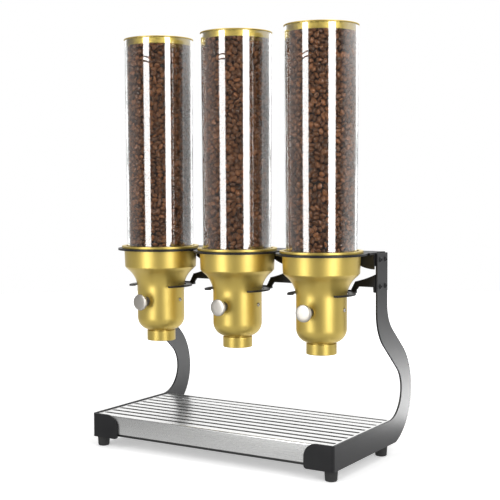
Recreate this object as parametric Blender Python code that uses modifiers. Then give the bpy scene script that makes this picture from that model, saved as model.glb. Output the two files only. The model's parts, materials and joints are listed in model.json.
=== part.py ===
"""Counter-top dispenser: three clear canisters with sprung push-knob shutters on a sheet-metal stand.

Lengths are metres, +Z is up and -Y is the front. Every piece is drawn in row coordinates, where y = 0 is
the plane of the three canister axes. The row_axis empty then puts the stand's middle over the origin.
"""
import math

import bmesh
import bpy
from mathutils import Matrix, Vector

# Driving dimensions: the stand
PITCH = 0.1518                 # from canister axis to canister axis
RIM_Z = 0.3225                 # height of the seat that the canisters hang in
HALF_WIDTH = 0.2223            # outer face of a side cheek
SHEET = 0.003                  # black sheet metal
FRONT_Y = -0.0953              # front face of the cheek flanges
REAR_Y = 0.1795                # rear of the cheeks' bulge
BAR_BOTTOM = 0.016             # underside of the stand, above the feet
BAR_TOP = 0.0545
POST_FRONT_Y = 0.049
POST_REAR_Y = 0.0855
POST_TOP = RIM_Z - 0.0005
GAP = 0.0003                   # clearance between pieces that touch
STEEL = 0.0015                 # stainless sheet of the base

# Driving dimensions: one canister, with heights measured from the rim seat
TUBE_RADIUS_LOW = 0.0541
TUBE_RADIUS_TOP = 0.0559
TUBE_WALL = 0.003
TUBE_TOP = 0.3418
TUBE_FOOT = -0.0197
COLLAR_RADIUS = 0.0600
BODY_RADIUS = 0.0390
BODY_WALL = 0.003
SPOUT_RADIUS = 0.0235
SPOUT_END = -0.153
KNOB_Z = -0.0855
KNOB_FACE = 0.0590             # distance of the knob's face from the canister axis
KNOB_RADIUS = 0.0132
SHUTTER_TRAVEL = 0.0110
SLOT_WIDTH = 0.0102
SCREW_Z = -0.084

# Bracket heights, from the rim seat
RING_TOP = 0.001
RING_UNDER = -0.002
RING_HOLE = 0.0618
RING_RADIUS = 0.0700
FORK_TOP = -0.0600
FORK_UNDER = -0.0625
SCREW_YS = (0.0595, 0.0780)
UPPER_SCREW_Z = -0.0105
LOWER_SCREW_Z = -0.0520

ROUND = 28                     # facets of a large turned piece
SMALL_ROUND = 16
ALONG_X = Matrix(((0, 0, 1, 0), (1, 0, 0, 0), (0, 1, 0, 0), (0, 0, 0, 1)))
ALONG_Y = Matrix(((1, 0, 0, 0), (0, 0, -1, 0), (0, 1, 0, 0), (0, 0, 0, 1)))
TO_FRONT = Matrix.Rotation(math.radians(90), 4, "X")
TO_RIGHT = Matrix.Rotation(math.radians(90), 4, "Y")

MATERIALS = {
    "black_powder_coat": ((0.020, 0.020, 0.022), 0.45, 0.0),
    "stainless": ((0.78, 0.78, 0.77), 0.25, 1.0),
    "gold_satin": ((0.62, 0.47, 0.17), 0.32, 1.0),
    "knob_metal": ((0.55, 0.52, 0.47), 0.35, 1.0),
    "clear_acrylic": ((0.92, 0.94, 0.94), 0.05, 0.0),
    "dark_rubber": ((0.015, 0.015, 0.015), 0.75, 0.0),
    "inner_plastic": ((0.10, 0.10, 0.10), 0.55, 0.0),
    "spring_steel": ((0.20, 0.19, 0.18), 0.40, 1.0),
}


def clear_scene():
    for item in list(bpy.data.objects):
        bpy.data.objects.remove(item, do_unlink=True)


def make_collection(name):
    made = bpy.data.collections.new(name)
    bpy.context.scene.collection.children.link(made)
    return made


def make_materials():
    made = {}
    for name, (colour, roughness, metallic) in MATERIALS.items():
        material = bpy.data.materials.new(name)
        material.use_nodes = True
        shader = material.node_tree.nodes["Principled BSDF"]
        shader.inputs["Base Color"].default_value = (*colour, 1.0)
        shader.inputs["Roughness"].default_value = roughness
        shader.inputs["Metallic"].default_value = metallic
        material.diffuse_color = (*colour, 1.0)
        made[name] = material
    return made


clear_scene()
PARTS = make_collection("cereal_dispenser")
HELPERS = make_collection("helpers")
LOOKS = make_materials()


# Shape helpers

def arc(centre, radius, start, end, steps):
    """Points on an arc, with the angles in degrees."""
    angles = [math.radians(start + (end - start) * i / steps) for i in range(steps + 1)]
    return [(centre[0] + radius * math.cos(a), centre[1] + radius * math.sin(a)) for a in angles]


def circle(centre, radius, steps):
    return arc(centre, radius, 0.0, 360.0, steps)[:-1]


def rounded_box(low, high, radii, steps=4):
    """An anticlockwise outline from low to high, with radii at low-left, low-right, top-right, top-left."""
    corners = (
        (low[0], low[1], 1, 1, 180),
        (high[0], low[1], -1, 1, 270),
        (high[0], high[1], -1, -1, 0),
        (low[0], high[1], 1, -1, 90),
    )
    points = []
    for (x, y, sx, sy, start), radius in zip(corners, radii):
        if radius == 0.0:
            points.append((x, y))
        else:
            points += arc((x + sx * radius, y + sy * radius), radius, start, start + 90, steps)
    return points


def add_helper(name, data, matrix=None):
    made = bpy.data.objects.new(name, data)
    HELPERS.objects.link(made)
    made.hide_render = True
    made.display_type = "WIRE"
    if matrix is not None:
        made.matrix_world = matrix
    return made


def lathe(name, profile, closed=True, segments=ROUND, matrix=None):
    """Turns a profile of (radius, height) points that runs down its outer side."""
    data = bpy.data.meshes.new(name)
    edges = [(i, i + 1) for i in range(len(profile) - 1)]
    if closed:
        edges.append((len(profile) - 1, 0))
    data.from_pydata([(radius, 0.0, height) for radius, height in profile], edges, [])
    made = add_helper(name, data, matrix)
    screw = made.modifiers.new("turn", "SCREW")
    screw.steps = segments
    screw.render_steps = segments
    screw.use_merge_vertices = True
    screw.merge_threshold = 0.00001
    return made


def box(name, low, high):
    data = bpy.data.meshes.new(name)
    shape = bmesh.new()
    bmesh.ops.create_cube(shape, size=1.0)
    size = Vector(high) - Vector(low)
    middle = (Vector(high) + Vector(low)) / 2
    bmesh.ops.scale(shape, vec=size, verts=shape.verts)
    bmesh.ops.translate(shape, vec=middle, verts=shape.verts)
    shape.to_mesh(data)
    shape.free()
    return add_helper(name, data)


def rod(name, radius, start, end, matrix, segments=SMALL_ROUND):
    """A cylinder from start to end along the matrix's own Z."""
    data = bpy.data.meshes.new(name)
    shape = bmesh.new()
    bmesh.ops.create_cone(
        shape, cap_ends=True, segments=segments, radius1=radius, radius2=radius, depth=end - start)
    bmesh.ops.translate(shape, vec=(0, 0, (start + end) / 2), verts=shape.verts)
    shape.to_mesh(data)
    shape.free()
    return add_helper(name, data, matrix)


def curve_to_mesh(name, curve, matrix):
    """A mesh object from a curve, with its caps welded."""
    drawn = add_helper(name + "_curve", curve, matrix)
    graph = bpy.context.evaluated_depsgraph_get()
    data = bpy.data.meshes.new_from_object(drawn.evaluated_get(graph))
    bpy.data.objects.remove(drawn, do_unlink=True)
    shape = bmesh.new()
    shape.from_mesh(data)
    bmesh.ops.remove_doubles(shape, verts=shape.verts, dist=0.000005)
    bmesh.ops.recalc_face_normals(shape, faces=shape.faces)
    shape.to_mesh(data)
    shape.free()
    return add_helper(name, data, matrix)


def plate(name, outlines, thickness, matrix=None):
    """A flat plate with holes, centred on the matrix's own XY plane."""
    curve = bpy.data.curves.new(name, "CURVE")
    curve.dimensions = "2D"
    curve.fill_mode = "BOTH"
    curve.extrude = thickness / 2
    for points in outlines:
        spline = curve.splines.new("POLY")
        spline.points.add(len(points) - 1)
        for point, (x, y) in zip(spline.points, points):
            point.co = (x, y, 0.0, 1.0)
        spline.use_cyclic_u = True
    return curve_to_mesh(name, curve, matrix or Matrix.Identity(4))


def combine(target, other, operation):
    step = target.modifiers.new(operation.lower(), "BOOLEAN")
    step.operation = operation
    step.object = other
    step.solver = "EXACT"


def bake(target, name, look, smooth_angle=32.0):
    """The finished mesh of a helper in world space, with its modifiers applied and its material set."""
    bpy.context.view_layer.update()
    graph = bpy.context.evaluated_depsgraph_get()
    data = bpy.data.meshes.new_from_object(target.evaluated_get(graph))
    data.transform(target.matrix_world)
    data.name = name
    data.materials.clear()
    data.materials.append(LOOKS[look])
    data.shade_smooth()
    data.set_sharp_from_angle(angle=math.radians(smooth_angle))
    return data


def place(name, data, parent, location=(0, 0, 0)):
    made = bpy.data.objects.new(name, data)
    PARTS.objects.link(made)
    made.parent = parent
    made.location = location
    return made


def mirrored(data, name):
    """The mesh for the other side of the stand."""
    copy = data.copy()
    copy.name = name
    copy.transform(Matrix.Scale(-1, 4, (1, 0, 0)))
    copy.flip_normals()
    return copy


def empty(name, location, parent=None):
    made = bpy.data.objects.new(name, None)
    PARTS.objects.link(made)
    made.location = location
    made.parent = parent
    return made


# The stand

def tangent_heading(upper, upper_radius, lower, lower_radius):
    """Heading, in degrees from straight down towards the rear, of the line that joins two opposed bends."""
    across = lower[0] - upper[0]
    down = lower[1] - upper[1]
    reach = math.hypot(across, down)
    turn = math.acos(-(upper_radius + lower_radius) / reach)
    return math.degrees(math.atan2(down, across) + turn)


def cheek_outline():
    """Side view of a cheek in (y, z): an S-shaped post that runs into the base bar."""
    upper_front_radius = 0.072
    upper_rear_radius = 0.056
    lower_front_radius = 0.045
    bulge_upper_radius = 0.090
    bulge_lower_radius = 0.084
    bulge_z = 0.0965
    corner = 0.0015
    upper_front = (POST_FRONT_Y + upper_front_radius, 0.2315)
    upper_rear = (POST_REAR_Y + upper_rear_radius, 0.2425)
    lower_front = (0.097, BAR_TOP + lower_front_radius)
    bulge_upper = (REAR_Y - bulge_upper_radius, bulge_z)
    bulge_lower = (REAR_Y - bulge_lower_radius, bulge_z)
    front_heading = tangent_heading(upper_front, upper_front_radius, lower_front, lower_front_radius)
    rear_heading = tangent_heading(upper_rear, upper_rear_radius, bulge_upper, bulge_upper_radius)
    heel = math.degrees(math.asin((bulge_z - BAR_BOTTOM) / bulge_lower_radius))
    points = [(FRONT_Y + 0.006, BAR_BOTTOM)]
    points += arc(bulge_lower, bulge_lower_radius, -heel, 0, 10)
    points += arc(bulge_upper, bulge_upper_radius, 0, rear_heading, 8)[1:]
    points += arc(upper_rear, upper_rear_radius, 180 + rear_heading, 180, 7)
    points += arc((POST_REAR_Y - corner, POST_TOP - corner), corner, 0, 90, 3)
    points += arc((POST_FRONT_Y + corner, POST_TOP - corner), corner, 90, 180, 3)
    points += arc(upper_front, upper_front_radius, 180, 180 + front_heading, 8)
    points += arc(lower_front, lower_front_radius, front_heading, -90, 14)
    points.append((FRONT_Y + 0.006, BAR_TOP))
    return points


def make_cheek():
    """The right cheek: side sheet, front flange bent inwards, and the foot rail along its bottom."""
    flange_inner_x = 0.1725
    bend = 0.004
    rail_inner_x = 0.196
    rail_rear_y = 0.108
    screw_hole = 0.0023
    holes = [circle((y, RIM_Z + z), screw_hole, 10)
             for y in SCREW_YS for z in (UPPER_SCREW_Z, LOWER_SCREW_Z)]
    side = plate("cheek_side", [cheek_outline()] + holes, SHEET,
                 Matrix.Translation((HALF_WIDTH - SHEET / 2, 0, 0)) @ ALONG_X)
    outer_bend = arc((HALF_WIDTH - bend, FRONT_Y + bend), bend, -90, 0, 4)
    inner_bend = arc((HALF_WIDTH - bend, FRONT_Y + bend), bend - SHEET, 0, -90, 2)
    strip = [(0.160, FRONT_Y)] + outer_bend + [(HALF_WIDTH, FRONT_Y + 0.010)]
    strip += [(HALF_WIDTH - SHEET, FRONT_Y + 0.010)] + inner_bend + [(0.160, FRONT_Y + SHEET)]
    flange = plate("cheek_flange", [strip], BAR_TOP - BAR_BOTTOM,
                   Matrix.Translation((0, 0, (BAR_TOP + BAR_BOTTOM) / 2)))
    outline = rounded_box((flange_inner_x, BAR_BOTTOM), (0.230, BAR_TOP), (0.005, 0.0, 0.0, 0.021), 7)
    trim = plate("flange_trim", [outline], 0.030, Matrix.Translation((0, FRONT_Y + 0.005, 0)) @ ALONG_Y)
    combine(flange, trim, "INTERSECT")
    rail = box("foot_rail", (rail_inner_x, FRONT_Y + 0.001, BAR_BOTTOM),
               (HALF_WIDTH - 0.001, rail_rear_y, BAR_BOTTOM + SHEET))
    combine(side, flange, "UNION")
    combine(side, rail, "UNION")
    return bake(side, "side_cheek", "black_powder_coat")


def make_support_rail():
    """A small angle inside the right cheek that the slotted cover rests on."""
    outer = HALF_WIDTH - SHEET - GAP
    top = 0.0512
    leg = 0.0015
    outline = [(outer, 0.040), (outer, top), (outer - 0.005, top), (outer - 0.005, top - leg),
               (outer - leg, top - leg), (outer - leg, 0.040)]
    rail = plate("support_rail", [outline], 0.175, Matrix.Translation((0, 0.0025, 0)) @ ALONG_Y)
    return bake(rail, "support_rail", "stainless")


def make_cover():
    """Stainless cover: a top with ten slots, an apron at the front and a lip at the rear."""
    half = HALF_WIDTH - SHEET - 0.0007
    top = 0.0530
    front = FRONT_Y + SHEET + GAP
    rear = 0.1120
    slot_half = 0.2137
    slot_width = 0.0076
    slot_pitch = 0.0197
    last_slot = 0.1040
    outlines = [rounded_box((-half, front), (half, rear), (0.0, 0.0, 0.0, 0.0))]
    for number in range(10):
        middle = last_slot - number * slot_pitch
        outlines.append(rounded_box(
            (-slot_half, middle - slot_width / 2), (slot_half, middle + slot_width / 2),
            (0.002,) * 4, 2))
    cover = plate("cover_top", outlines, STEEL, Matrix.Translation((0, 0, top - STEEL / 2)))
    apron = box("cover_apron", (-half, front, 0.0240), (half, front + STEEL, top - STEEL / 2))
    lip = box("cover_lip", (-half, rear - STEEL, 0.0465), (half, rear, top - STEEL / 2))
    combine(cover, apron, "UNION")
    combine(cover, lip, "UNION")
    return bake(cover, "slotted_cover", "stainless")


def make_crumb_tray():
    """Open pan that slides out at the rear along the foot rails, with a finger lip."""
    half = 0.2120
    front = -0.0885
    rear = 0.1135
    bottom = BAR_BOTTOM + SHEET + GAP
    rim = 0.0400
    tray = box("tray_block", (-half, front, bottom), (half, rear, rim))
    hollow = box("tray_hollow", (-half + STEEL, front + STEEL, bottom + STEEL),
                 (half - STEEL, rear - STEEL, rim + 0.010))
    lip = box("tray_lip", (-0.060, rear - STEEL / 2, rim - STEEL), (0.060, rear + 0.012, rim))
    combine(tray, hollow, "DIFFERENCE")
    combine(tray, lip, "UNION")
    return bake(tray, "crumb_tray", "stainless")


def make_foot():
    """Tapered rubber foot under the foot rail."""
    profile = [(0.0, BAR_BOTTOM - GAP), (0.0100, BAR_BOTTOM - GAP), (0.0092, 0.0015), (0.0080, 0.0),
               (0.0, 0.0)]
    return bake(lathe("foot", profile, closed=False, segments=20), "foot", "dark_rubber")


def make_bracket_screw():
    """Pan-head screw for the right cheek, drawn about its own axis with the head towards +X."""
    head = HALF_WIDTH + GAP
    profile = [(0.0, head + 0.0019), (0.0024, head + 0.0019), (0.0040, head + 0.0010), (0.0042, head),
               (0.0020, head), (0.0020, 0.2135), (0.0, 0.2135)]
    return bake(lathe("bracket_screw", profile, closed=False, segments=12, matrix=TO_RIGHT),
                "bracket_screw", "black_powder_coat")


def make_upper_bracket():
    """Plate with three canister seats, a scalloped web under it and a screw tab at each end."""
    end = HALF_WIDTH - SHEET - GAP
    rear = POST_REAR_Y - 0.002
    strip_front = 0.030
    web_front = 0.0435
    notch = 0.0425
    shallow = -0.0140
    deep = -0.0245
    meet = math.degrees(math.asin(strip_front / RING_RADIUS))
    outline = [(-end, rear), (-end, strip_front)]
    for number in (-1, 0, 1):
        outline += arc((number * PITCH, 0.0), RING_RADIUS, 180 - meet, 360 + meet, 18)
    outline += [(end, strip_front), (end, rear)]
    holes = [circle((number * PITCH, 0.0), RING_HOLE, ROUND) for number in (-1, 0, 1)]
    bracket = plate("upper_plate", [outline] + holes, RING_TOP - RING_UNDER,
                    Matrix.Translation((0, 0, RIM_Z + (RING_TOP + RING_UNDER) / 2)))
    at_web = Matrix.Translation((0, web_front + SHEET / 2, RIM_Z)) @ ALONG_Y
    span = PITCH - 2 * notch
    sag = shallow - deep
    sweep = (span * span / 4 + sag * sag) / (2 * sag)
    half_angle = math.degrees(math.asin(span / 2 / sweep))
    for side in (-1, 1):
        middle = side * PITCH / 2
        web = [(middle + span / 2, -0.001), (middle - span / 2, -0.001)]
        web += arc((middle, deep + sweep), sweep, 270 - half_angle, 270 + half_angle, 8)
        combine(bracket, plate("web_%d" % side, [web], SHEET, at_web), "UNION")
        start = PITCH + notch
        wing = arc((end, deep + sweep), sweep, 270 - half_angle * (end - start) / (span / 2), 270, 5)
        wing = [(end, -0.001), (start, -0.001)] + wing
        if side < 0:
            wing = [(-x, z) for x, z in reversed(wing)]
        combine(bracket, plate("wing_%d" % side, [wing], SHEET, at_web), "UNION")
        tab = plate("tab_%d" % side, [rounded_box((web_front, -0.0200), (rear, -0.001), (0.003,) * 4, 3)]
                    + [circle((y, UPPER_SCREW_Z), 0.0023, 10) for y in SCREW_YS], SHEET,
                    Matrix.Translation((side * (end - SHEET / 2), 0, RIM_Z)) @ ALONG_X)
        combine(bracket, tab, "UNION")
    return bake(bracket, "upper_bracket", "black_powder_coat")


def fork_outline(number):
    """A C open to the front, in (x, y), with rounded tips."""
    inner = 0.0424
    outer = 0.0525
    opening = 57.0
    tip = (outer - inner) / 2
    reach = (outer + inner) / 2
    centre = (number * PITCH, 0.0)
    left = math.radians(270 - opening)
    right = math.radians(270 + opening)
    left_tip = (centre[0] + reach * math.cos(left), reach * math.sin(left))
    right_tip = (centre[0] + reach * math.cos(right), reach * math.sin(right))
    points = arc(centre, outer, -90 + opening, 270 - opening, 14)
    points += arc(left_tip, tip, 270 - opening, 450 - opening, 4)[1:-1]
    points += arc(centre, inner, 270 - opening, -90 + opening, 14)
    points += arc(right_tip, tip, 90 + opening, 270 + opening, 4)[1:-1]
    return points


def lower_web_outline(end, fork_overlap):
    """The web in (x, z): its top edge swings up between the canisters, and two legs reach down behind each."""
    low = -0.0522
    sweep = 0.155
    sweep_z = 0.1068
    leg_top = 0.0337
    leg_foot = 0.0265
    leg_foot_z = -0.0580
    leg_outer = 0.0356
    leg_corner = 0.0399
    start = math.degrees(math.asin(leg_top / sweep))
    middle = math.degrees(math.asin(PITCH / 2 / sweep))
    wing = math.degrees(math.asin((end - PITCH) / sweep))
    points = [(-end, low)]
    for number in (-1, 0, 1):
        axis = number * PITCH
        points += [(axis - leg_corner, low), (axis - leg_outer, leg_foot_z), (axis - leg_outer, fork_overlap),
                   (axis + leg_outer, fork_overlap), (axis + leg_outer, leg_foot_z), (axis + leg_corner, low)]
    points.append((end, low))
    for number in (1, 0, -1):
        axis = number * PITCH
        right = wing if number == 1 else middle
        left = wing if number == -1 else middle
        points += arc((axis, sweep_z), sweep, 270 + right, 270 + start, 5)
        points += [(axis + leg_foot, leg_foot_z), (axis - leg_foot, leg_foot_z)]
        points += arc((axis, sweep_z), sweep, 270 - start, 270 - left, 5)[:None if number == -1 else -1]
    return points


def make_lower_bracket():
    """Web behind the canisters that carries three C-shaped forks and a screw tab at each end."""
    end = HALF_WIDTH - SHEET - GAP
    rear = POST_REAR_Y - 0.002
    web_front = 0.0470
    tongue = 0.0356
    bracket = plate("lower_web", [lower_web_outline(end, FORK_TOP - 0.0010)], SHEET,
                    Matrix.Translation((0, web_front + SHEET / 2, RIM_Z)) @ ALONG_Y)
    for number in (-1, 0, 1):
        middle = number * PITCH
        stem = box("stem_%d" % number, (middle - tongue, 0.0435, RIM_Z + FORK_UNDER),
                   (middle + tongue, web_front + SHEET, RIM_Z + FORK_TOP))
        fork = plate("fork_%d" % number, [fork_outline(number)], FORK_TOP - FORK_UNDER,
                     Matrix.Translation((0, 0, RIM_Z + (FORK_TOP + FORK_UNDER) / 2)))
        combine(bracket, stem, "UNION")
        combine(bracket, fork, "UNION")
    for side in (-1, 1):
        tab = plate("lower_tab_%d" % side,
                    [rounded_box((web_front, -0.0610), (rear, -0.0345), (0.003, 0.003, 0.003, 0.003), 3)]
                    + [circle((y, LOWER_SCREW_Z), 0.0023, 10) for y in SCREW_YS], SHEET,
                    Matrix.Translation((side * (end - SHEET / 2), 0, RIM_Z)) @ ALONG_X)
        combine(bracket, tab, "UNION")
    return bake(bracket, "lower_bracket", "black_powder_coat")


# One canister, drawn about its own axis with z = 0 at the rim seat

def tube_radius(height):
    share = (height - TUBE_FOOT) / (TUBE_TOP - TUBE_FOOT)
    return TUBE_RADIUS_LOW + share * (TUBE_RADIUS_TOP - TUBE_RADIUS_LOW)


def make_tube():
    """Clear tube, a little wider at the top."""
    profile = [(TUBE_RADIUS_TOP, TUBE_TOP), (TUBE_RADIUS_LOW, TUBE_FOOT),
               (TUBE_RADIUS_LOW - TUBE_WALL, TUBE_FOOT), (TUBE_RADIUS_TOP - TUBE_WALL, TUBE_TOP)]
    return bake(lathe("tube", profile), "tube", "clear_acrylic")


def make_tube_seal():
    """Soft ring between the tube and the hopper's collar."""
    top = 0.0035
    profile = [(0.0567, top), (0.0567, TUBE_FOOT), (0.0545, TUBE_FOOT), (tube_radius(top) + GAP, top)]
    return bake(lathe("tube_seal", profile), "tube_seal", "dark_rubber")


def make_lid():
    """Flat lid with a plug skirt inside the tube."""
    under = TUBE_TOP + GAP
    top = under + 0.0016
    skirt_end = under - 0.0100
    skirt = TUBE_RADIUS_TOP - TUBE_WALL - GAP
    profile = [(0.0, top), (0.0566, top), (0.0571, top - 0.0005), (0.0571, under), (skirt, under),
               (skirt - 0.0002, skirt_end), (skirt - 0.0022, skirt_end),
               (skirt - 0.0020, under + 0.0004), (0.0, under + 0.0004)]
    return bake(lathe("lid", profile, closed=False), "lid", "gold_satin")


def make_hopper():
    """Collar, flared funnel, round body and bowl, with holes for the bush and the carrier screw."""
    seat = RING_TOP + GAP
    rim = 0.0050
    rim_radius = 0.0638
    collar_end = -0.0298
    flare_centre = (0.0794, -0.0660)
    flare_radius = flare_centre[0] - BODY_RADIUS
    bowl_radius = 0.0218
    bowl_centre = (BODY_RADIUS - bowl_radius, -0.1140)
    mouth = 0.0209
    ledge = -0.0200
    seat_radius = 0.0570
    throat_radius = 0.0515
    bowl_out = math.degrees(math.acos((SPOUT_RADIUS - bowl_centre[0]) / bowl_radius))
    bowl_in = math.degrees(math.acos((mouth - bowl_centre[0]) / (bowl_radius - BODY_WALL)))
    flare_out = math.degrees(math.acos((flare_centre[0] - 0.0548) / flare_radius))
    flare_in = math.degrees(math.acos((flare_centre[0] - throat_radius) / (flare_radius + BODY_WALL)))
    outer = [(rim_radius, rim), (rim_radius, seat), (COLLAR_RADIUS, seat), (0.0588, collar_end)]
    outer += arc(flare_centre, flare_radius, 180 - flare_out, 180, 5)
    outer += arc(bowl_centre, bowl_radius, 0, -bowl_out, 4)
    inner = [(mouth, outer[-1][1])]
    inner += arc(bowl_centre, bowl_radius - BODY_WALL, -bowl_in, 0, 3)
    inner += arc(flare_centre, flare_radius + BODY_WALL, 180, 180 - flare_in, 3)
    inner += [(throat_radius, ledge), (seat_radius, ledge), (seat_radius, rim)]
    hopper = lathe("hopper", outer + inner)
    bush_hole = rod("bush_hole", 0.0065, 0.030, 0.045, Matrix.Translation((0, 0, KNOB_Z)) @ TO_FRONT)
    screw_hole = rod("screw_hole", 0.0019, 0.030, 0.045,
                     Matrix.Translation((0, 0, SCREW_Z)) @ TO_RIGHT, 10)
    combine(hopper, bush_hole, "DIFFERENCE")
    combine(hopper, screw_hole, "DIFFERENCE")
    return bake(hopper, "hopper", "gold_satin")


def slot_cutter(name, middle, half_length, low, high):
    return box(name, (-half_length, middle - SLOT_WIDTH / 2, low), (half_length, middle + SLOT_WIDTH / 2, high))


def make_carrier():
    """Throat plate with two slots and a skirt that holds the shutter."""
    radius = 0.0357
    top = -0.0765
    under = -0.0790
    skirt = 0.0333
    low = -0.0935
    profile = [(0.0, top), (radius, top), (radius, low), (skirt, low), (skirt, under), (0.0, under)]
    carrier = lathe("throat_carrier", profile, closed=False)
    for middle in (-SHUTTER_TRAVEL, SHUTTER_TRAVEL):
        combine(carrier, slot_cutter("throat_slot", middle, 0.0130, -0.085, -0.070), "DIFFERENCE")
    combine(carrier, box("rod_notch", (-0.0080, -0.040, -0.095), (0.0080, -0.030, -0.0788)), "DIFFERENCE")
    combine(carrier, rod("carrier_hole", 0.0019, 0.030, 0.040,
                         Matrix.Translation((0, 0, SCREW_Z)) @ TO_RIGHT, 10), "DIFFERENCE")
    return bake(carrier, "throat_carrier", "inner_plastic")


def make_shutter_rod():
    """Shutter plate with two slots, one travel in front of the throat's, on the push rod."""
    radius = 0.0328
    top = -0.0793
    under = -0.0821
    reach = math.degrees(math.asin(SHUTTER_TRAVEL / 2 / radius))
    outline = arc((0.0, 0.0), radius, 180 + reach, 360 - reach, 14)
    outline += arc((0.0, -SHUTTER_TRAVEL), radius, reach, 180 - reach, 14)
    shutter = plate("shutter", [outline], top - under, Matrix.Translation((0, 0, (top + under) / 2)))
    for middle in (-2 * SHUTTER_TRAVEL, 0.0):
        combine(shutter, slot_cutter("shutter_slot", middle, 0.0120, -0.090, -0.070), "DIFFERENCE")
    push_rod = rod("push_rod", 0.0040, -0.012, KNOB_FACE - 0.0023,
                   Matrix.Translation((0, 0, KNOB_Z)) @ TO_FRONT, 12)
    combine(shutter, push_rod, "UNION")
    return bake(shutter, "shutter_rod", "spring_steel")


def make_guide_bush():
    """Flanged bush that guides the push rod through the front wall."""
    flange = BODY_RADIUS + GAP
    profile = [(0.0097, flange + 0.0014), (0.0097, flange), (0.0062, flange), (0.0062, 0.0350),
               (0.0043, 0.0350), (0.0043, flange + 0.0014)]
    return bake(lathe("guide_bush", profile, segments=SMALL_ROUND,
                      matrix=Matrix.Translation((0, 0, KNOB_Z)) @ TO_FRONT), "guide_bush", "gold_satin")


def make_return_spring():
    """Compression coil around the push rod, between the body and the knob."""
    coil = 0.0077
    wire = 0.00055
    turns = 3
    steps = 12
    start = 0.0416
    end = KNOB_FACE - 0.0045 - GAP - wire
    curve = bpy.data.curves.new("return_spring", "CURVE")
    curve.dimensions = "3D"
    curve.bevel_depth = wire
    curve.bevel_resolution = 1
    curve.use_fill_caps = True
    spline = curve.splines.new("POLY")
    spline.points.add(turns * steps)
    for number, point in enumerate(spline.points):
        angle = 2 * math.pi * number / steps
        height = start + (end - start) * number / (turns * steps)
        point.co = (coil * math.cos(angle), coil * math.sin(angle), height, 1.0)
    spring = curve_to_mesh("return_spring", curve, Matrix.Translation((0, 0, KNOB_Z)) @ TO_FRONT)
    return bake(spring, "return_spring", "spring_steel", 60.0)


def make_push_knob():
    """Round knob with a blind socket for the rod."""
    back = KNOB_FACE - 0.0045
    socket = 0.0044
    profile = [(0.0, KNOB_FACE), (KNOB_RADIUS - 0.0016, KNOB_FACE), (KNOB_RADIUS, KNOB_FACE - 0.0014),
               (KNOB_RADIUS, back + 0.0006), (KNOB_RADIUS - 0.0006, back), (socket, back),
               (socket, KNOB_FACE - 0.0020), (0.0, KNOB_FACE - 0.0020)]
    return bake(lathe("push_knob", profile, closed=False, segments=20,
                      matrix=Matrix.Translation((0, 0, KNOB_Z)) @ TO_FRONT), "push_knob", "knob_metal")


def make_carrier_screw():
    """Small screw that holds the carrier from the right side of the body."""
    head = BODY_RADIUS + 0.0002
    profile = [(0.0, head + 0.0020), (0.0026, head + 0.0020), (0.0032, head + 0.0013), (0.0032, head),
               (0.0015, head), (0.0015, 0.0345), (0.0, 0.0345)]
    return bake(lathe("carrier_screw", profile, closed=False, segments=10,
                      matrix=Matrix.Translation((0, 0, SCREW_Z)) @ TO_RIGHT), "carrier_screw", "knob_metal")


def make_outlet_spout():
    """Short outlet ring whose neck sits in the bowl's mouth."""
    top = -0.1365
    profile = [(0.0206, -0.1300), (0.0206, top), (SPOUT_RADIUS, top), (SPOUT_RADIUS, SPOUT_END + 0.0005),
               (SPOUT_RADIUS - 0.0005, SPOUT_END), (0.0185, SPOUT_END), (0.0185, -0.1300)]
    return bake(lathe("outlet_spout", profile), "outlet_spout", "gold_satin")


def build_stand(row):
    cheek = make_cheek()
    support = make_support_rail()
    place("side_cheek_right", cheek, row)
    place("side_cheek_left", mirrored(cheek, "side_cheek_left"), row)
    place("support_rail_right", support, row)
    place("support_rail_left", mirrored(support, "support_rail_left"), row)
    place("upper_bracket", make_upper_bracket(), row)
    place("lower_bracket", make_lower_bracket(), row)
    place("slotted_cover", make_cover(), row)
    place("crumb_tray", make_crumb_tray(), row)
    foot = make_foot()
    screw = make_bracket_screw()
    other_screw = mirrored(screw, "bracket_screw_left")
    for side, x, data in (("right", 1, screw), ("left", -1, other_screw)):
        for place_name, y in (("front", -0.0815), ("rear", 0.0880)):
            place("foot_%s_%s" % (place_name, side), foot, row, (x * 0.2110, y, 0.0))
        for level, z in (("upper", UPPER_SCREW_Z), ("lower", LOWER_SCREW_Z)):
            for place_name, y in zip(("front", "rear"), SCREW_YS):
                place("bracket_screw_%s_%s_%s" % (level, place_name, side), data, row, (0, y, RIM_Z + z))


def build_canisters(row):
    fixed = {
        "hopper": make_hopper(),
        "tube_seal": make_tube_seal(),
        "throat_carrier": make_carrier(),
        "guide_bush": make_guide_bush(),
        "carrier_screw": make_carrier_screw(),
        "outlet_spout": make_outlet_spout(),
    }
    pushed = {
        "shutter_rod": make_shutter_rod(),
        "push_knob": make_push_knob(),
        "return_spring": make_return_spring(),
    }
    tube = make_tube()
    lid = make_lid()
    for number, side in ((-1, "left"), (0, "middle"), (1, "right")):
        canister = empty("canister_axis_" + side, (number * PITCH, 0, RIM_Z), row)
        knob_axis = empty("knob_axis_" + side, (0, 0, KNOB_Z), canister)
        for name, data in fixed.items():
            place("%s_%s" % (name, side), data, canister)
        for name, data in pushed.items():
            place("%s_%s" % (name, side), data, knob_axis, (0, 0, -KNOB_Z))
        place("tube_" + side, tube, canister)
        place("lid_" + side, lid, canister)


def main():
    row = empty("row_axis", (0, -(FRONT_Y + REAR_Y) / 2, 0))
    build_stand(row)
    build_canisters(row)
    bpy.context.view_layer.update()


main()
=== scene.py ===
"""Looks of the counter-top dispenser: turned parts, sheet metal, clear tubes and the loose beans in them."""

import json
import math
import random

import bmesh
import bpy
import numpy as np
from mathutils import Matrix, Vector


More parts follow.
